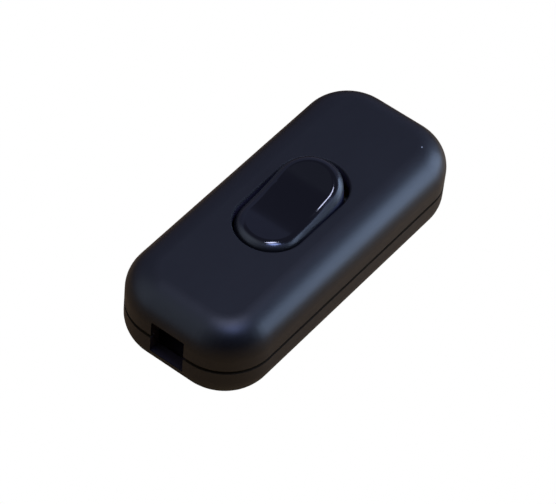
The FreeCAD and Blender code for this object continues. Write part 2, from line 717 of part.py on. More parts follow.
def fastener_group(label, master, spots, z, upside_down=False):
    """Group of separate copies of one fastener, each at an (x, y) spot."""
    copies = []
    turn = FreeCAD.Rotation(FreeCAD.Vector(1, 0, 0), 180 if upside_down else 0)
    for x, y in spots:
        link = doc.addObject("App::Link", f"{label}_link")
        link.setLink(master)
        link.Placement = FreeCAD.Placement(FreeCAD.Vector(), turn)
        for axis, text in zip("xyz", (x, y, z)):
            link.setExpression(f"Placement.Base.{axis}", named(text))
        copies.append(link)
    group = doc.addObject("Part::Compound", label)
    group.Label = label
    group.Links = copies
    doc.recompute()
    return group


def build():
    pieces = [lower_housing(), upper_housing(), rocker()]
    pole_makers = (plunger, plunger_spring, contact_blade, moving_contact,
                   fulcrum_terminal, fixed_terminal, fixed_contact)
    for name, side in (("left", ""), ("right", "-")):
        for maker in pole_makers:
            pieces.append(maker(name, side))
    pieces.append(cord_clamp("near", "-"))
    pieces.append(cord_clamp("far", ""))
    grub = grub_screw("grub_screw")
    spots = four_corners("pillar_position", "pole_offset")
    grub_level = "pillar_top + driver_slot_depth - terminal_screw_length"
    pieces.append(fastener_group("terminal_screws", grub, spots, grub_level))
    clamp_screw = headed_screw("clamp_screw", "clamp_head_radius", "clamp_head_height",
                               "clamp_screw_radius", "clamp_screw_length")
    spots = four_corners("clamp_position", "clamp_screw_offset")
    pieces.append(fastener_group("clamp_screws", clamp_screw, spots, "clamp_top"))
    case_screw = headed_screw("case_screw", "case_head_radius", "case_head_height",
                              "case_screw_radius", "case_screw_length")
    spots = [(f"{a}boss_position", f"{a}boss_offset") for a in ("", "-")]
    pieces.append(fastener_group("case_screws", case_screw, spots, "counterbore_depth", upside_down=True))
    return pieces


def check_and_write(pieces):
    doc.recompute()
    for item in doc.Objects:
        if "Invalid" in item.State or "Error" in item.State:
            raise ValueError(f"{item.Name} is {item.State}")
    os.makedirs("parts", exist_ok=True)
    for piece in pieces:
        if piece.Shape.isNull() or not piece.Shape.isValid():
            raise ValueError(f"{piece.Label} has no valid shape")
        piece.Shape.exportStep(f"parts/{piece.Label}.step")


fill_sheets()
check_and_write(build())
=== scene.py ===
import math

import bpy
from bpy.props import FloatProperty, FloatVectorProperty, IntProperty, PointerProperty
from bpy.types import Operator, Panel, PropertyGroup
from mathutils import Matrix, Vector


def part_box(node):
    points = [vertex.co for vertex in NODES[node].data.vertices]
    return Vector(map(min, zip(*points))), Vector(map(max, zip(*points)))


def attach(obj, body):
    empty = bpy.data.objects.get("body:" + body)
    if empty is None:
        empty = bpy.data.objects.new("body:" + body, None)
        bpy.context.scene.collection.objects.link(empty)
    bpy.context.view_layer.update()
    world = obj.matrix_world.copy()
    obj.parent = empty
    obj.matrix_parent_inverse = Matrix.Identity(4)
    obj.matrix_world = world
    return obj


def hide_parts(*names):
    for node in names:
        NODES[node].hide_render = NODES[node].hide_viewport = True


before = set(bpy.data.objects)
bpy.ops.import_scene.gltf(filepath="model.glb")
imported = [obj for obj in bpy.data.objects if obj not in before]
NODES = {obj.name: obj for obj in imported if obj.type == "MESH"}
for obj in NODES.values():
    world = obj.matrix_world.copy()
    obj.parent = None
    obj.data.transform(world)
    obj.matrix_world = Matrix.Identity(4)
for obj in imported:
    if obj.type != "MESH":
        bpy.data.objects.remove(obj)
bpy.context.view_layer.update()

MM = 0.001
IMAGE_SIZE = (556, 504)
WHITE = (1.0, 1.0, 1.0)

bl_info = {
    "name": "Inline Cord Switch Finisher",
    "version": (1, 0, 0),
    "blender": (4, 5, 0),
    "location": "View3D > Sidebar > Cord Switch",
    "description": "Finishes the packed inline cord switch and sets up its studio",
    "category": "Object",
}


# Sizes and colours a user would change


def colour(name, description, default):
    """Property for a colour."""
    return FloatVectorProperty(name=name, description=description, default=default, subtype="COLOR",
                               min=0.0, max=1.0)


def share(name, description, default):
    """Property from 0 to 1."""
    return FloatProperty(name=name, description=description, default=default, subtype="FACTOR",
                         min=0.0, max=1.0)


def length(name, description, default):
    """Property for a length in metres."""
    return FloatProperty(name=name, description=description, default=default, unit="LENGTH", precision=5)


def pair(name, description, default):
    """Property for two lengths in metres."""
    return FloatVectorProperty(name=name, description=description, default=default, size=2,
                               unit="LENGTH", precision=5)


def span(name, description, default):
    """Property for the least and the most of a share."""
    return FloatVectorProperty(name=name, description=description, default=default, size=2,
                               min=0.0, max=1.0)


def number(name, description, default):
    """Property for a plain number."""
    return FloatProperty(name=name, description=description, default=default)


def brightness(name, description, default):
    """Property for a light's brightness."""
    return FloatProperty(name=name, description=description, default=default, min=0.0)


class HousingFinish(PropertyGroup):
    tint: colour("Tint", "Colour of the black housing plastic", (0.0024, 0.0022, 0.0024))
    roughness: share("Roughness", "Roughness of the spark-eroded mould texture", 0.46)
    polish: share("Edge polish", "How much smoother the handled edge rounds are", 0.05)
    # Painted light: a lilac tone painted on the walls of the rocker's opening, where little light reaches
    painted_recess_light: colour("Recess", "Colour of the plastic in the rocker's opening", (0.030, 0.022, 0.045))
    # Painted light: a dim purple tone painted in the cord entries, where little light reaches
    painted_entry_light: colour("Entry", "Colour of the plastic in the cord entries", (0.021, 0.014, 0.018))
    # Painted light: a mauve tone painted on the housing's inside faces, where little light reaches
    inside: colour("Inside", "Colour of the plastic inside the housing", (0.066, 0.046, 0.056))
    seam: colour("Shadow line", "Colour of the plastic in the joint of the halves", (0.020, 0.012, 0.003))
    dull: share("Lip", "How much rougher the lip round the rocker's opening is", 0.4)
    grain_size: length("Grain size", "Width of one grain of the mould texture", 0.16 * MM)
    grain_depth: length("Grain depth", "Depth of the mould texture", 0.0035 * MM)


class RockerFinish(PropertyGroup):
    tint: colour("Tint", "Colour of the glossy rocker plastic", (0.0008, 0.0008, 0.0010))
    # Painted light: a blue tone painted on the rocker's side walls for the sky light on them
    painted_wall_light: colour("Wall", "Colour of the duller plastic on the rocker's side", (0.014, 0.014, 0.036))
    roughness: share("Roughness", "Roughness of the polished rocker", 0.09)
    smudge: share("Smudge", "Roughness that fingers leave on the polish", 0.03)
    rim: share("Rim", "How much rougher the rocker's rounded side is than its top", 0.36)
    hold: share("Hold", "How much rougher still that side is in its middle", 0.28)


class InsideFinish(PropertyGroup):
    brass: colour("Brass", "Colour of the terminals and blades", (0.78, 0.57, 0.27))
    tarnish: colour("Tarnish", "Colour of the tarnish on the brass", (0.42, 0.26, 0.10))
    silver: colour("Silver", "Colour of the contact rivets", (0.86, 0.85, 0.82))
    zinc: colour("Zinc", "Colour of the plated screws", (0.66, 0.67, 0.68))
    wire: colour("Spring wire", "Colour of the drawn spring wire", (0.42, 0.42, 0.43))
    nylon: colour("Nylon", "Colour of the plungers", (0.80, 0.77, 0.68))
    grip: colour("Grip plastic", "Colour of the cord grip bars", (0.060, 0.046, 0.052))
    brass_roughness: span("Brass roughness", "Least and most roughness of the brass", (0.24, 0.36))
    silver_roughness: span("Silver roughness", "Least and most roughness of the silver", (0.20, 0.34))
    zinc_roughness: span("Zinc roughness", "Least and most roughness of the plating", (0.28, 0.44))
    wire_roughness: span("Wire roughness", "Least and most roughness of the spring wire", (0.26, 0.40))
    nylon_roughness: span("Nylon roughness", "Least and most roughness of the nylon", (0.26, 0.46))
    grip_roughness: span("Grip roughness", "Least and most roughness of the grip plastic", (0.34, 0.50))


class ScrewSizes(PropertyGroup):
    pitch: length("Thread pitch", "Rise of the thread in one turn", 0.7 * MM)
    depth: length("Thread depth", "Depth of the thread below the shank's size", 0.22 * MM)
    slot_width: length("Slot width", "Width of the driver slot", 0.5 * MM)
    slot_depth: length("Slot depth", "Depth of the driver slot", 0.6 * MM)
    segments: IntProperty(name="Segments", description="Sides round a screw", default=40, min=12, max=96)
    case_head: pair("Case screw head", "Radius and height of a case screw's head", (2.0 * MM, 1.3 * MM))
    case_shank: length("Case screw shank", "Radius of a case screw's shank", 1.2 * MM)
    grip_head: pair("Grip screw head", "Radius and height of a grip screw's head", (1.75 * MM, 1.2 * MM))
    grip_shank: length("Grip screw shank", "Radius of a grip screw's shank", 1.0 * MM)
    grub_shank: length("Grub screw", "Radius of a terminal's grub screw", 1.2 * MM)
    head_round: length("Head rounding", "Radius round the top of a head", 0.5 * MM)
    tip: length("Tip", "Chamfer at a screw's tip", 0.4 * MM)


class Studio(PropertyGroup):
    azimuth: number("Azimuth", "Camera's turn round the switch in degrees", -56.675)
    elevation: number("Elevation", "Camera's height over the horizon in degrees", 48.259)
    roll: number("Roll", "Camera's turn round its own axis in degrees", 6.208)
    distance: length("Distance", "Camera's distance from its target", 518.256 * MM)
    target_height: length("Target height", "Height of the point that the camera is aimed at", 9.0 * MM)
    focal: number("Focal length", "Camera's focal length in pixels", 3093.887)
    centre: FloatVectorProperty(name="Centre", description="Camera's axis in the picture, in pixels", size=2,
                                default=(288.272, 232.708))
    window: brightness("Window", "Brightness of the soft window light", 2.6)
    lamp: brightness("Lamp", "Brightness of the lamp overhead", 11.5)
    panel: brightness("Panel", "Brightness of the soft panel beside the lamp", 6.2)
    room: brightness("Room", "Brightness of the room's own light", 1.0)


class SwitchLook(PropertyGroup):
    housing: PointerProperty(type=HousingFinish)
    rocker: PointerProperty(type=RockerFinish)
    inside: PointerProperty(type=InsideFinish)
    screws: PointerProperty(type=ScrewSizes)
    studio: PointerProperty(type=Studio)


# Node trees from expressions


class Wire:
    """A node's output that takes part in Python arithmetic: each operator adds a Math node."""

    def __init__(self, graph, socket):
        self.graph = graph
        self.socket = socket

    def math(self, operation, *others):
        """This output and the others through one Math node."""
        values = dict(enumerate((self, *others)))
        return self.graph.add("ShaderNodeMath", {"operation": operation}, values)

    def __add__(self, other):
        return self.math("ADD", other)

    def __sub__(self, other):
        return self.math("SUBTRACT", other)

    def __mul__(self, other):
        return self.math("MULTIPLY", other)

    def __truediv__(self, other):
        return self.math("DIVIDE", other)

    def __rsub__(self, other):
        return self.graph.add("ShaderNodeMath", {"operation": "SUBTRACT"}, {0: other, 1: self})

    __radd__ = __add__


class Graph:
    """A node tree that is filled by expressions."""

    # Places of a Mix node's colour sockets
    COLOUR_A = 6
    COLOUR_B = 7
    COLOUR_OUT = 2

    def __init__(self, tree):
        self.tree = tree
        tree.nodes.clear()

    def add(self, kind, settings=None, sockets=None, out=0):
        """Add a node: its settings, then a value or a Wire for each socket by name or place."""
        node = self.tree.nodes.new(kind)
        for name, setting in (settings or {}).items():
            setattr(node, name, setting)
        for key, value in (sockets or {}).items():
            if isinstance(value, Wire):
                self.tree.links.new(value.socket, node.inputs[key])
            else:
                node.inputs[key].default_value = value
        return Wire(self, node.outputs[out]) if node.outputs else None

    def axes(self, vector):
        """The three numbers of a vector."""
        split = self.add("ShaderNodeSeparateXYZ", None, {0: vector}).socket.node
        return [Wire(self, part) for part in split.outputs]

    def vector_math(self, operation, a, b, out="Vector"):
        """Vector or number from two vectors."""
        return self.add("ShaderNodeVectorMath", {"operation": operation}, {0: a, 1: b}, out=out)

    def dot(self, a, b):
        """Dot product of two vectors."""
        return self.vector_math("DOT_PRODUCT", a, b, out="Value")

    def mix(self, factor, a, b):
        """Colour between a and b."""
        first, second = ((*c, 1.0) if not isinstance(c, Wire) and len(c) == 3 else c for c in (a, b))
        sockets = {0: factor, self.COLOUR_A: first, self.COLOUR_B: second}
        return self.add("ShaderNodeMix", {"data_type": "RGBA"}, sockets, out=self.COLOUR_OUT)

    def blend(self, factor, a, b):
        """Shader between a and b."""
        return self.add("ShaderNodeMixShader", None, {0: factor, 1: a, 2: b})

    def fade(self, value, low, high):
        """Number that goes smoothly from 0 where value is low to 1 where it is high."""
        sockets = {"Value": value, "From Min": low, "From Max": high}
        return self.add("ShaderNodeMapRange", {"interpolation_type": "SMOOTHSTEP"}, sockets)

    def between(self, amount, low, high):
        """Number that goes from low to high as the amount goes from 0 to 1."""
        return low + amount * (high - low)

    def noise(self, where, size, detail=2.0, roughness=0.5):
        """Noise from 0 to 1 with lumps of the given size in metres."""
        sockets = {"Vector": where, "Scale": 1.0 / size, "Detail": detail, "Roughness": roughness}
        return self.add("ShaderNodeTexNoise", None, sockets)


class Finish(Graph):
    """A material with one Principled surface, on the object's own coordinates in metres."""

    def __init__(self, name):
        self.material = bpy.data.materials.new(name)
        self.material.use_nodes = True
        super().__init__(self.material.node_tree)
        self.where = self.add("ShaderNodeTexCoord", out="Object")
        self.normal = self.add("ShaderNodeTexCoord", out="Normal")

    def stretch(self, x, y, z):
        """The coordinates, drawn out along an axis where its number is small."""
        return self.vector_math("MULTIPLY", self.where, (x, y, z))

    def within(self, box):
        """1 inside a box, given by half its length, half its width, its bottom and its top."""
        half_length, half_width, bottom, top = box
        x, y, z = self.axes(self.where)
        inside = self.fade(z, bottom - SOFT, bottom) * (1 - self.fade(z, top, top + SOFT))
        for across, half in ((x, half_length), (y, half_width)):
            inside = inside * (1 - self.fade(across.math("ABSOLUTE"), half, half + SOFT))
        return inside

    def inward(self):
        """1 on the faces that look to the middle of the housing."""
        offset = self.vector_math("SUBTRACT", self.where, MIDDLE)
        return 1 - self.fade(self.dot(offset, self.normal), *INWARD)

    def bump(self, height, depth):
        """Normal of a surface with the given height from 0 to 1 and depth in metres."""
        return self.add("ShaderNodeBump", None, {"Height": height, "Strength": 1.0, "Distance": depth})

    def surface(self, **sockets):
        """Finish the material: values or Wires by socket name, with underscores for spaces."""
        named = {key.replace("_", " "): value for key, value in sockets.items()}
        shader = self.add("ShaderNodeBsdfPrincipled", None, named)
        self.add("ShaderNodeOutputMaterial", None, {"Surface": shader})
        return self.material


def shades(tint, *steps):
    """The colour made darker or lighter by each step, as RGBA."""
    return [(*(min(1.0, c * step) for c in tint), 1.0) for step in steps]


def wear(material, *names):
    """Give CAD nodes their material."""
    for name in names:
        for place in NODES[name].material_slots:
            place.material = material


# Places on the housing: a box is half its length, half its width, its bottom and its top
# OPENING, ENTRY and CAVITY mark where light is painted on the housing
OPENING = [size * MM for size in (12.2, 6.6, 11.8, 15.9)]
ENTRY = [size * MM for size in (31.7, 3.5, 4.2, 11.7)]
SEAM = [size * MM for size in (32.0, 13.9, 7.6, 8.4)]
CAVITY = [size * MM for size in (29.4, 13.0, 1.5, 14.5)]
LIP = [size * MM for size in (12.95, 6.95, 15.0, 16.6)]
SOFT = 0.15 * MM
MIDDLE = Vector((0.0, 0.0, 8.0)) * MM
INWARD = (-1.5 * MM, -0.5 * MM)
DUST_SPOT = Vector((25.0, -8.6, 16.19)) * MM
DUST_RADIUS = 0.14 * MM
DUST_CORE = 0.6
DUST_TINT = (0.55, 0.56, 0.58)

# Heights of the normal between which a round starts or ends
EDGE_START = (0.25, 0.6)
EDGE_END = (0.8, 0.99)
LIP_END = (0.93, 0.995)
SIDE_END = (0.05, 0.35)
RIM_END = (0.72, 0.95)

# Distance from the rocker's middle over which its held part ends
HOLD_END = (3.0 * MM, 7.5 * MM)

# Levels of a noise between which a mark starts to show
SMUDGED = (0.45, 0.75)
STAINED = (0.48, 0.78)
FILMED = (0.5, 0.8)

# Widths of the lumps in each noise
CLOUDS = 9.0 * MM
RUB = 3.0 * MM
TOUCH = 4.0 * MM
HAIRLINES = 0.12 * MM
RIPPLE = 2.4 * MM
GRIP_GRAIN = 0.25 * MM
GRIP_FLOW = 1.5 * MM
MOTTLE = 0.8 * MM
RINGS = 0.1 * MM
ROLLING = 0.08 * MM
STAIN = 2.2 * MM
TURNING = 0.14 * MM
FILM = 0.9 * MM
CRYSTALS = 0.12 * MM
PASSIVATION = 1.1 * MM
DRAWING = 0.06 * MM

# Depths of the bumps
GRIP_DEPTH = 0.006 * MM
RIPPLE_DEPTH = 0.004 * MM
TOOL_DEPTH = 0.003 * MM
POLISH_DEPTH = 0.002 * MM

# Shares of the noises in a bump or a colour
PITS_PER_GRAIN = 0.7
GRAIN_SHARE = 0.7
PIT_SHARE = 0.5
HAIRLINE_SHARE = 0.02
STAIN_SHARE = 0.75

# What the noises add to the roughness
RUB_ROUGHNESS = 0.08
CLOUD_ROUGHNESS = 0.04
HAIRLINE_ROUGHNESS = 0.03
STAIN_ROUGHNESS = 0.18
FILM_ROUGHNESS = 0.15
SMUDGE_MEAN = 0.2

ROCKER_SPECULAR = 0.72
WARM_ZINC = (1.0, 0.94, 0.80)


# Materials


def housing_plastic(look):
    """Satin black plastic with mould grain, handled edges and a speck of dust, with light painted into the
    rocker's opening, the cord entries and the inside.
    """
    f = Finish("housing_plastic")
    grain = f.noise(f.where, look.grain_size, detail=3.0, roughness=0.65)
    pits = f.add("ShaderNodeTexVoronoi", {"feature": "SMOOTH_F1"},
                 {"Vector": f.where, "Scale": PITS_PER_GRAIN / look.grain_size, "Smoothness": 0.6})
    clouds = f.noise(f.where, CLOUDS, detail=4.0)
    rub = f.noise(f.stretch(1.0, 2.5, 2.5), RUB, detail=5.0, roughness=0.7)
    up = f.axes(f.normal)[2]
    edge = f.fade(up, *EDGE_START) * (1 - f.fade(up, *EDGE_END))
    lip = f.within(LIP) * (1 - f.fade(up, *LIP_END))
    dust = f.vector_math("DISTANCE", f.where, DUST_SPOT, out="Value")
    speck = 1 - f.fade(dust + (grain - 0.5) * DUST_RADIUS, DUST_CORE * DUST_RADIUS, DUST_RADIUS)
    dark, light = shades(look.tint, 0.8, 1.25)
    body = f.mix(clouds, dark, light)
    body = f.mix(f.within(SEAM), body, look.seam)
    # Painted light in the cord entries
    body = f.mix(f.within(ENTRY), body, look.painted_entry_light)
    # Painted light on the inside faces of the housing
    body = f.mix(f.within(CAVITY) * f.inward(), body, look.inside)
    # Painted light on the walls of the rocker's opening
    body = f.mix(f.within(OPENING), body, look.painted_recess_light)
    uneven = (rub - 0.5) * RUB_ROUGHNESS + (clouds - 0.5) * CLOUD_ROUGHNESS
    return f.surface(
        Base_Color=f.mix(speck, body, DUST_TINT),
        Roughness=look.roughness + uneven - edge * look.polish + lip * look.dull,
        Normal=f.bump(grain * GRAIN_SHARE + pits * PIT_SHARE, look.grain_depth),
    )


def rocker_plastic(look):
    """Polished black plastic with finger marks, a duller side, and sky light painted on its side walls."""
    f = Finish("rocker_plastic")
    touch = f.noise(f.where, TOUCH, detail=5.0, roughness=0.6)
    hairlines = f.noise(f.stretch(0.08, 1.0, 1.0), HAIRLINES)
    ripple = f.noise(f.where, RIPPLE, detail=1.0)
    dark, light = shades(look.tint, 0.85, 1.2)
    up = f.axes(f.normal)[2]
    # Mask of the side walls, where sky light is painted
    side = 1 - f.fade(up, *SIDE_END)
    rim = 1 - f.fade(up, *RIM_END)
    hold = 1 - f.fade(f.axes(f.where)[0].math("ABSOLUTE"), *HOLD_END)
    smudge = (f.fade(touch, *SMUDGED) - SMUDGE_MEAN) * look.smudge
    uneven = smudge + (hairlines - 0.5) * HAIRLINE_ROUGHNESS
    return f.surface(
        # Base colour: painted sky light on the side walls over the polished tint
        Base_Color=f.mix(side, f.mix(touch, dark, light), look.painted_wall_light),
        Specular_IOR_Level=ROCKER_SPECULAR,
        Roughness=look.roughness + uneven + rim * (look.rim + hold * look.hold),
        Normal=f.bump(ripple + hairlines * HAIRLINE_SHARE, RIPPLE_DEPTH),
    )


def grip_plastic(look):
    """Moulded plastic with flow marks."""
    f = Finish("grip_plastic")
    grain = f.noise(f.where, GRIP_GRAIN, detail=3.0)
    flow = f.noise(f.stretch(1.0, 0.3, 1.0), GRIP_FLOW, detail=4.0)
    dark, light = shades(look.grip, 0.7, 1.5)
    return f.surface(
        Base_Color=f.mix(flow, dark, light),
        Roughness=f.between(flow, *look.grip_roughness),
        Normal=f.bump(grain, GRIP_DEPTH),
    )


def plunger_nylon(look):
    """Pale nylon with turned rings."""
    f = Finish("plunger_nylon")
    mottle = f.noise(f.where, MOTTLE, detail=4.0)
    rings = f.noise(f.stretch(0.1, 0.1, 1.0), RINGS, detail=1.0)
    dark, light = shades(look.nylon, 0.86, 1.05)
    return f.surface(
        Base_Color=f.mix(mottle, dark, light),
        Roughness=f.between(mottle, *look.nylon_roughness),
        Normal=f.bump(rings, TOOL_DEPTH),
    )


def stamped_brass(look):
    """Rolled brass with stains of tarnish."""
    f = Finish("stamped_brass")
    rolling = f.noise(f.stretch(0.04, 1.0, 1.0), ROLLING, detail=3.0)
    stain = f.fade(f.noise(f.where, STAIN, detail=6.0, roughness=0.65), *STAINED)
    return f.surface(
        Base_Color=f.mix(stain * STAIN_SHARE, look.brass, look.tarnish),
        Metallic=1.0,
        Roughness=f.between(rolling, *look.brass_roughness) + stain * STAIN_ROUGHNESS,
        Normal=f.bump(rolling, TOOL_DEPTH),
    )


def contact_silver(look):
    """Turned silver under a thin film."""
    f = Finish("contact_silver")
    turning = f.noise(f.where, TURNING)
    film = f.fade(f.noise(f.where, FILM, detail=5.0), *FILMED)
    dull, clean = shades(look.silver, 0.45, 1.0)
    return f.surface(
        Base_Color=f.mix(film, clean, dull),
        Metallic=1.0,
        Roughness=f.between(turning, *look.silver_roughness) + film * FILM_ROUGHNESS,
        Normal=f.bump(turning, POLISH_DEPTH),
    )


def plated_screw(look):
    """Zinc plating with a warm passivation."""
    f = Finish("plated_screw")
    crystals = f.noise(f.where, CRYSTALS, detail=4.0)
    passivation = f.noise(f.where, PASSIVATION, detail=3.0)
    warm = tuple(c * w for c, w in zip(look.zinc, WARM_ZINC))
    return f.surface(
        Base_Color=f.mix(passivation, look.zinc, warm),
        Metallic=1.0,
        Roughness=f.between(crystals, *look.zinc_roughness),
        Normal=f.bump(crystals, TOOL_DEPTH),
    )


def spring_wire(look):
    """Drawn steel wire."""
    f = Finish("spring_wire")
    drawing = f.noise(f.stretch(1.0, 1.0, 0.3), DRAWING, detail=3.0)
    dark, light = shades(look.wire, 0.7, 1.15)
    return f.surface(
        Base_Color=f.mix(drawing, dark, light),
        Metallic=1.0,
        Roughness=f.between(drawing, *look.wire_roughness),
        Normal=f.bump(drawing, POLISH_DEPTH),
    )


# Screws


class ScrewTree(Graph):
    """Geometry Nodes that turn a lathe profile into threaded, slotted screws, one on each point."""

    INPUTS = {
        "Points": "Geometry", "Profile": "Object", "Segments": "Int", "Pitch": "Float", "Depth": "Float",
        "Thread Top": "Float", "Thread End": "Float", "Slot Width": "Float", "Slot Depth": "Float",
        "Head Top": "Float", "Turn": "Vector", "Metal": "Material",
    }
    RING = 1.0 * MM
    MERGE = 0.001 * MM
    SLOT_LENGTH = 10.0 * MM
    SHARP = math.radians(40)

    def __init__(self):
        super().__init__(bpy.data.node_groups.new("threaded_screws", "GeometryNodeTree"))
        face = self.tree.interface
        for name, kind in self.INPUTS.items():
            face.new_socket(name, in_out="INPUT", socket_type=f"NodeSocket{kind}")
        face.new_socket("Screws", in_out="OUTPUT", socket_type="NodeSocketGeometry")
        given = {name: self.add("NodeGroupInput", out=name) for name in self.INPUTS}
        screw = self.slotted(self.threaded(self.turned(given), given), given)
        sockets = {"Points": given["Points"], "Instance": screw, "Rotation": given["Turn"]}
        placed = self.add("GeometryNodeInstanceOnPoints", None, sockets)
        solid = self.add("GeometryNodeRealizeInstances", None, {"Geometry": placed})
        plated = self.add("GeometryNodeSetMaterial", None, {"Geometry": solid, "Material": given["Metal"]})
        self.add("NodeGroupOutput", None, {"Screws": plated})

    def vector(self, x, y, z):
        """Vector from three numbers."""
        return self.add("ShaderNodeCombineXYZ", None, {"X": x, "Y": y, "Z": z})

    def turned(self, given):
        """Body swept round Z from its profile."""
        profile = self.add("GeometryNodeObjectInfo", None, {"Object": given["Profile"]}, out="Geometry")
        sockets = {"Resolution": given["Segments"], "Radius": self.RING}
        ring = self.add("GeometryNodeCurvePrimitiveCircle", None, sockets)
        ring = self.add("GeometryNodeSetCurveNormal", {"mode": "Z_UP"}, {"Curve": ring})
        body = self.add("GeometryNodeCurveToMesh", None, {"Curve": ring, "Profile Curve": profile})
        return self.add("GeometryNodeMergeByDistance", None, {"Geometry": body, "Distance": self.MERGE})

    def threaded(self, body, given):
        """Shank with a helical groove that runs out at both ends."""
        spot = self.add("GeometryNodeInputPosition")
        x, y, z = self.axes(spot)
        phase = z / given["Pitch"] - y.math("ARCTAN2", x) / math.tau
        groove = phase.math("PINGPONG", 0.5) * 2
        start = 1 - self.fade(z, given["Thread Top"] - given["Pitch"], given["Thread Top"])
        end = self.fade(z, given["Thread End"], given["Thread End"] + given["Pitch"])
        radius = (x * x + y * y).math("SQRT")
        kept = 1 - groove * start * end * given["Depth"] / radius
        moved = self.vector_math("MULTIPLY", spot, self.vector(kept, kept, 1.0))
        return self.add("GeometryNodeSetPosition", None, {"Geometry": body, "Position": moved})

    def slotted(self, body, given):
        """Driver slot across the top."""
        size = self.vector(self.SLOT_LENGTH, given["Slot Width"], given["Slot Depth"] * 2)
        cutter = self.add("GeometryNodeMeshCube", None, {"Size": size})
        sockets = {"Geometry": cutter, "Translation": self.vector(0.0, 0.0, given["Head Top"])}
        cutter = self.add("GeometryNodeTransform", None, sockets)
        settings = {"operation": "DIFFERENCE", "solver": "EXACT"}
        return self.add("GeometryNodeMeshBoolean", settings, {"Mesh 1": body, "Mesh 2": cutter})

    def screws(self, name, spots, profile, values):
        """Plain mesh object with a screw on each spot."""
        points = bpy.data.meshes.new(name)
        points.from_pydata(spots, [], [])
        holder = bpy.data.objects.new(name, points)
        bpy.context.collection.objects.link(holder)
        line = self.profile_line(profile)
        modifier = holder.modifiers.new("screws", "NODES")
        modifier.node_group = self.tree
        values = {**values, "Profile": line}
        for item in self.tree.interface.items_tree:
            if item.in_out == "INPUT" and item.name in values:
                modifier[item.identifier] = values[item.name]
        seen = holder.evaluated_get(bpy.context.evaluated_depsgraph_get())
        made = bpy.data.meshes.new_from_object(seen)
        holder.modifiers.remove(modifier)
        holder.data = made
        made.name = name
        made.shade_smooth()
        made.set_sharp_from_angle(angle=self.SHARP)
        bpy.data.objects.remove(line)
        return holder

    def profile_line(self, points):
        """Open line of (radius, height) points, measured from the ring that it is swept along."""
        data = bpy.data.curves.new("screw_profile", "CURVE")
        data.dimensions = "3D"
        run = data.splines.new("POLY")
        run.points.add(len(points) - 1)
        for point, (radius, height) in zip(run.points, points):
            point.co = (radius - self.RING, -height, 0.0, 1.0)
        line = bpy.data.objects.new("screw_profile", data)
        bpy.context.collection.objects.link(line)
        return line


# Operators


class SWITCH_OT_finish_housing(Operator):
    """Give both housing halves their satin black plastic"""
    bl_idname = "switch.finish_housing"
    bl_label = "Housing"

    def execute(self, context):
        wear(housing_plastic(context.scene.switch_look.housing), "upper_housing", "lower_housing")
        return {"FINISHED"}


class SWITCH_OT_finish_rocker(Operator):
    """Give the rocker its polished black plastic"""
    bl_idname = "switch.finish_rocker"
    bl_label = "Rocker"

    def execute(self, context):
        wear(rocker_plastic(context.scene.switch_look.rocker), "rocker")
        return {"FINISHED"}


class SWITCH_OT_finish_grips(Operator):
    """Give the cord grip bars their plastic"""
    bl_idname = "switch.finish_grips"
    bl_label = "Cord grips"

    def execute(self, context):
        wear(grip_plastic(context.scene.switch_look.inside), "near_cord_clamp", "far_cord_clamp")
        return {"FINISHED"}


class SWITCH_OT_finish_plungers(Operator):
    """Give the plungers their nylon and the springs their drawn wire"""
    bl_idname = "switch.finish_plungers"
    bl_label = "Plungers and springs"

    def execute(self, context):
        look = context.scene.switch_look.inside
        wear(plunger_nylon(look), "plunger_left", "plunger_right")
        wear(spring_wire(look), "plunger_spring_left", "plunger_spring_right")
        return {"FINISHED"}


class SWITCH_OT_finish_contacts(Operator):
    """Give the terminals and blades their brass and the contact rivets their silver"""
    bl_idname = "switch.finish_contacts"
    bl_label = "Terminals and contacts"

    def execute(self, context):
        look = context.scene.switch_look.inside
        brass = stamped_brass(look)
        silver = contact_silver(look)
        for side in ("left", "right"):
            wear(brass, f"contact_blade_{side}", f"fulcrum_terminal_{side}", f"fixed_terminal_{side}")
            wear(silver, f"moving_contact_{side}", f"fixed_contact_{side}")
        return {"FINISHED"}


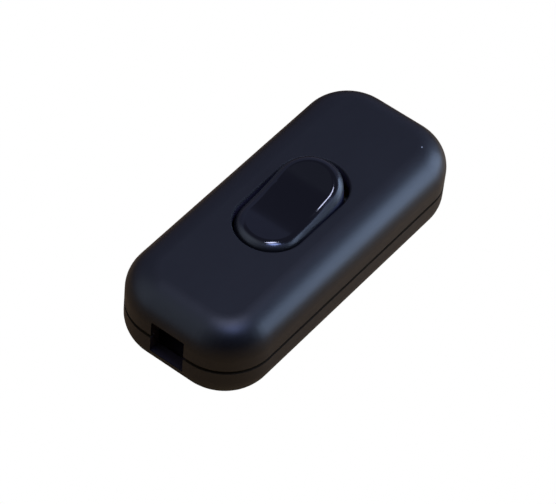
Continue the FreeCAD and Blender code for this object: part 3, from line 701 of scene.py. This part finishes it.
class SWITCH_OT_make_screws(Operator):
    """Make the threaded case, grip and terminal screws"""
    bl_idname = "switch.make_screws"
    bl_label = "Screws"

    DIAGONAL = ((1, 1), (-1, -1))
    CORNERS = ((1, 1), (1, -1), (-1, 1), (-1, -1))
    HEADLESS = (0.0, 0.0)
    STEPS_PER_TURN = 10
    ROUND_STEPS = 6

    def execute(self, context):
        look = context.scene.switch_look
        sizes = look.screws
        metal = plated_screw(look.inside)
        tree = ScrewTree()
        kinds = (
            ("case_screws", self.DIAGONAL, sizes.case_head, sizes.case_shank, True),
            ("clamp_screws", self.CORNERS, sizes.grip_head, sizes.grip_shank, False),
            ("terminal_screws", self.CORNERS, self.HEADLESS, sizes.grub_shank, False),
        )
        for node, quarters, head, shank, head_down in kinds:
            self.make(tree, sizes, metal, node, quarters, head, shank, head_down)
        return {"FINISHED"}

    def make(self, tree, sizes, metal, node, quarters, head, shank, head_down):
        """Replace a node's screws, which stand at the corners of its box, by threaded ones."""
        low, high = (Vector(corner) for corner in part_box(node))
        head_radius, head_height = head
        middle = (low + high) / 2
        seat = low.z + head_height if head_down else high.z - head_height
        apart = (high - low) / 2 - Vector((1.0, 1.0, 1.0)) * max(head_radius, shank)
        spots = [(middle.x + sx * apart.x, middle.y + sy * apart.y, seat) for sx, sy in quarters]
        shank_length = high.z - low.z - head_height
        values = {
            "Segments": sizes.segments, "Pitch": sizes.pitch, "Depth": sizes.depth, "Metal": metal,
            "Thread Top": 0.0, "Thread End": -shank_length, "Head Top": head_height,
            "Slot Width": sizes.slot_width, "Slot Depth": sizes.slot_depth,
            "Turn": (math.pi * head_down, 0.0, 0.0),
        }
        profile = self.profile(head_radius, head_height, shank, shank_length, sizes)
        piece = tree.screws(f"threaded_{node}", spots, profile, values)
        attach(piece, "housing")
        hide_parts(node)

    def profile(self, head_radius, head_height, shank, shank_length, sizes):
        """Points from the middle of the head down to the tip, with heights from under the head."""
        tip = sizes.tip
        line = [(0.0, head_height)]
        if head_height:
            bend = sizes.head_round
            for step in range(self.ROUND_STEPS + 1):
                turn = math.pi / 2 * step / self.ROUND_STEPS
                inset = 1.0 - math.sin(turn)
                drop = 1.0 - math.cos(turn)
                line.append((head_radius - bend * inset, head_height - bend * drop))
            line += [(head_radius, 0.0), (shank, 0.0)]
            top, first = 0.0, 1
        else:
            line.append((shank - tip, 0.0))
            top, first = -tip, 0
        run = shank_length + top - tip
        count = math.ceil(run / sizes.pitch * self.STEPS_PER_TURN)
        line += [(shank, top - run * step / count) for step in range(first, count + 1)]
        return line + [(shank - tip, -shank_length), (0.0, -shank_length)]


class SWITCH_OT_set_studio(Operator):
    """Set up the floor, the lights and the camera"""
    bl_idname = "switch.set_studio"
    bl_label = "Studio"

    CLIP = (0.01, 20.0)

    # Name, direction, distance, size and tint of each area light
    LIGHTS = (
        ("window", (0.72, -0.69, 0.11), 0.16, (0.16, 0.19), (0.74, 1.0, 1.48)),
        ("lamp", (0.07, -0.02, 1.0), 0.40, (0.124, 0.054), (0.86, 0.92, 1.30)),
        ("panel", (-0.12, -0.31, 1.0), 0.40, (0.12, 0.12), (0.60, 0.78, 1.62)),
    )
    AIM = Vector((0.0, 0.0, 0.01))
    STEEP = 0.8
    ENERGY_PER_AREA = 4.0

    # Floor: its size, the colours it throws back and where they change; toward -X the table is darkened with
    # painted shade, and on its far side with a painted shadow
    FLOOR_HALF = 3.0
    FLOOR_LEVEL = -0.05 * MM
    CLEAR_REACH = (0.3 * MM, 2.0 * MM)
    DIM_SHADE_TINT = (0.45, 0.265, 0.105)
    NEAR_TINT = (0.57, 0.350, 0.155)
    FAR_SHADOW_TINT = (0.09, 0.06, 0.04)
    NEAR_SPAN = (-0.05, 0.01)
    FAR_WAY = (0.56, 0.83, 0.0)
    FAR_SPAN = (0.02, 0.08)

    # Room: its colours by height, a bright card, and the direction, spread and depth of two dark sides
    SKY_LOW = (0.270, 0.262, 0.400)
    SKY_MIDDLE = (0.212, 0.240, 0.428)
    SKY_TOP = (0.114, 0.122, 0.216)
    MIDDLE_SPAN = (0.0, 0.5)
    TOP_SPAN = (0.71, 0.78)
    CARD_WAY = (-0.75, 0.40, 0.52)
    CARD_SPAN = (0.5, 0.95)
    CARD_TINT = (0.62, 0.73, 0.97)
    DARK_SIDES = (
        ((-0.62, -0.76, 0.2), (0.15, 0.85), 0.9),
        ((0.3, 0.95, -0.15), (0.5, 0.98), 0.32),
    )

    def execute(self, context):
        studio = context.scene.switch_look.studio
        context.scene.view_settings.view_transform = "Standard"
        self.camera(context, studio)
        self.floor(context)
        self.room(context, studio)
        for name, way, distance, size, tint in self.LIGHTS:
            self.light(context, name, way, distance, size, tint, getattr(studio, name))
        return {"FINISHED"}

    def camera(self, context, studio):
        """Camera at the photo's angle."""
        turn, rise, roll = (math.radians(a) for a in (studio.azimuth, studio.elevation, studio.roll))
        back = Vector((math.sin(turn) * math.cos(rise), -math.cos(turn) * math.cos(rise), math.sin(rise)))
        right = Vector((0, 0, 1)).cross(back).normalized()
        up = back.cross(right)
        across = right * math.cos(roll) + up * math.sin(roll)
        upward = up * math.cos(roll) - right * math.sin(roll)
        width, height = IMAGE_SIZE
        data = bpy.data.cameras.new("photo_camera")
        data.lens = studio.focal * data.sensor_width / width
        data.shift_x = (width / 2 - studio.centre[0]) / width
        data.shift_y = (studio.centre[1] - height / 2) / width
        data.clip_start, data.clip_end = self.CLIP
        camera = bpy.data.objects.new("photo_camera", data)
        axes = Matrix((across, upward, back)).transposed().to_4x4()
        place = Vector((0, 0, studio.target_height)) + back * studio.distance
        camera.matrix_world = Matrix.Translation(place) @ axes
        context.collection.objects.link(camera)
        context.scene.camera = camera

    def floor(self, context):
        """Paper under the switch."""
        half, level = self.FLOOR_HALF, self.FLOOR_LEVEL
        corners = [(-half, -half, level), (half, -half, level), (half, half, level), (-half, half, level)]
        mesh = bpy.data.meshes.new("studio_floor")
        mesh.from_pydata(corners, [], [(0, 1, 2, 3)])
        floor = bpy.data.objects.new("studio_floor", mesh)
        context.collection.objects.link(floor)
        mesh.materials.append(self.paper())

    def paper(self):
        """White paper that is clear from below and lets light reach the underside that lies on it."""
        material = bpy.data.materials.new("studio_floor")
        material.use_nodes = True
        g = Graph(material.node_tree)
        where = g.add("ShaderNodeTexCoord", out="Object")
        dim, near, far = (g.add("ShaderNodeBsdfDiffuse", None, {"Color": (*tint, 1.0)})
                          for tint in (self.DIM_SHADE_TINT, self.NEAR_TINT, self.FAR_SHADOW_TINT))
        # Table seen in reflections: painted shade toward -X and a painted shadow on its far side
        table = g.blend(g.fade(g.axes(where)[0], *self.NEAR_SPAN), dim, near)
        table = g.blend(g.fade(g.dot(where, self.FAR_WAY), *self.FAR_SPAN), table, far)
        white = g.add("ShaderNodeEmission", None, {"Color": (*WHITE, 1.0), "Strength": 1.0})
        seen = g.add("ShaderNodeLightPath", out="Is Camera Ray")
        reach = g.add("ShaderNodeLightPath", out="Ray Length")
        below = g.add("ShaderNodeNewGeometry", out="Backfacing")
        clear = g.add("ShaderNodeBsdfTransparent")
        opening = below.math("MAXIMUM", 1 - g.fade(reach, *self.CLEAR_REACH))
        look = g.blend(opening, g.blend(seen, table, white), clear)
        g.add("ShaderNodeOutputMaterial", None, {"Surface": look})
        return material

    def room(self, context, studio):
        """Room that is white to the camera and darker, with a bright card, in reflections."""
        world = bpy.data.worlds.new("studio_room")
        world.use_nodes = True
        context.scene.world = world
        g = Graph(world.node_tree)
        way = g.add("ShaderNodeTexCoord", out="Generated")
        height = g.axes(way)[2]
        sky = g.mix(g.fade(height, *self.MIDDLE_SPAN), self.SKY_LOW, self.SKY_MIDDLE)
        sky = g.mix(g.fade(height, *self.TOP_SPAN), sky, self.SKY_TOP)
        sky = g.mix(g.fade(g.dot(way, self.CARD_WAY), *self.CARD_SPAN), sky, self.CARD_TINT)
        strength = studio.room
        for dark_way, spread, depth in self.DARK_SIDES:
            strength = (1 - g.fade(g.dot(way, dark_way), *spread) * depth) * strength
        seen = g.add("ShaderNodeLightPath", out="Is Camera Ray")
        sky = g.mix(seen, sky, WHITE)
        strength = strength * (1 - seen) + seen
        light = g.add("ShaderNodeBackground", None, {"Color": sky, "Strength": strength})
        g.add("ShaderNodeOutputWorld", None, {"Surface": light})

    def light(self, context, name, way, distance, size, tint, radiance):
        """Area light that is aimed at the switch and out of the camera's sight."""
        width, depth = size
        data = bpy.data.lights.new(name, "AREA")
        data.shape = "RECTANGLE"
        data.size, data.size_y = size
        data.energy = self.ENERGY_PER_AREA * width * depth * radiance
        data.color = tint
        lamp = bpy.data.objects.new(name, data)
        way = Vector(way).normalized()
        lamp.location = self.AIM + way * distance
        upright = Vector((0, 0, 1)) if abs(way.z) < self.STEEP else Vector((0, 1, 0))
        across = upright.cross(way).normalized()
        axes = Matrix((across, way.cross(across), way)).transposed()
        lamp.rotation_euler = axes.to_euler()
        lamp.visible_camera = False
        context.collection.objects.link(lamp)


class SWITCH_PT_panel(Panel):
    """Buttons for the operators that finish the switch"""
    bl_idname = "SWITCH_PT_panel"
    bl_label = "Inline cord switch"
    bl_space_type = "VIEW_3D"
    bl_region_type = "UI"
    bl_category = "Cord Switch"

    def draw(self, context):
        for operator in OPERATORS:
            self.layout.operator(operator.bl_idname)


OPERATORS = (
    SWITCH_OT_set_studio,
    SWITCH_OT_finish_housing,
    SWITCH_OT_finish_rocker,
    SWITCH_OT_finish_grips,
    SWITCH_OT_finish_plungers,
    SWITCH_OT_finish_contacts,
    SWITCH_OT_make_screws,
)
GROUPS = (HousingFinish, RockerFinish, InsideFinish, ScrewSizes, Studio, SwitchLook)
CLASSES = (*GROUPS, *OPERATORS, SWITCH_PT_panel)


def register():
    """Add the classes and the scene's settings."""
    for item in CLASSES:
        bpy.utils.register_class(item)
    bpy.types.Scene.switch_look = PointerProperty(type=SwitchLook)


def unregister():
    """Take away what register added."""
    del bpy.types.Scene.switch_look
    for item in reversed(CLASSES):
        bpy.utils.unregister_class(item)


def main():
    """Run every operator."""
    register()
    for operator in OPERATORS:
        group, name = operator.bl_idname.split(".")
        getattr(getattr(bpy.ops, group), name)()


if __name__ == "__main__":
    main()
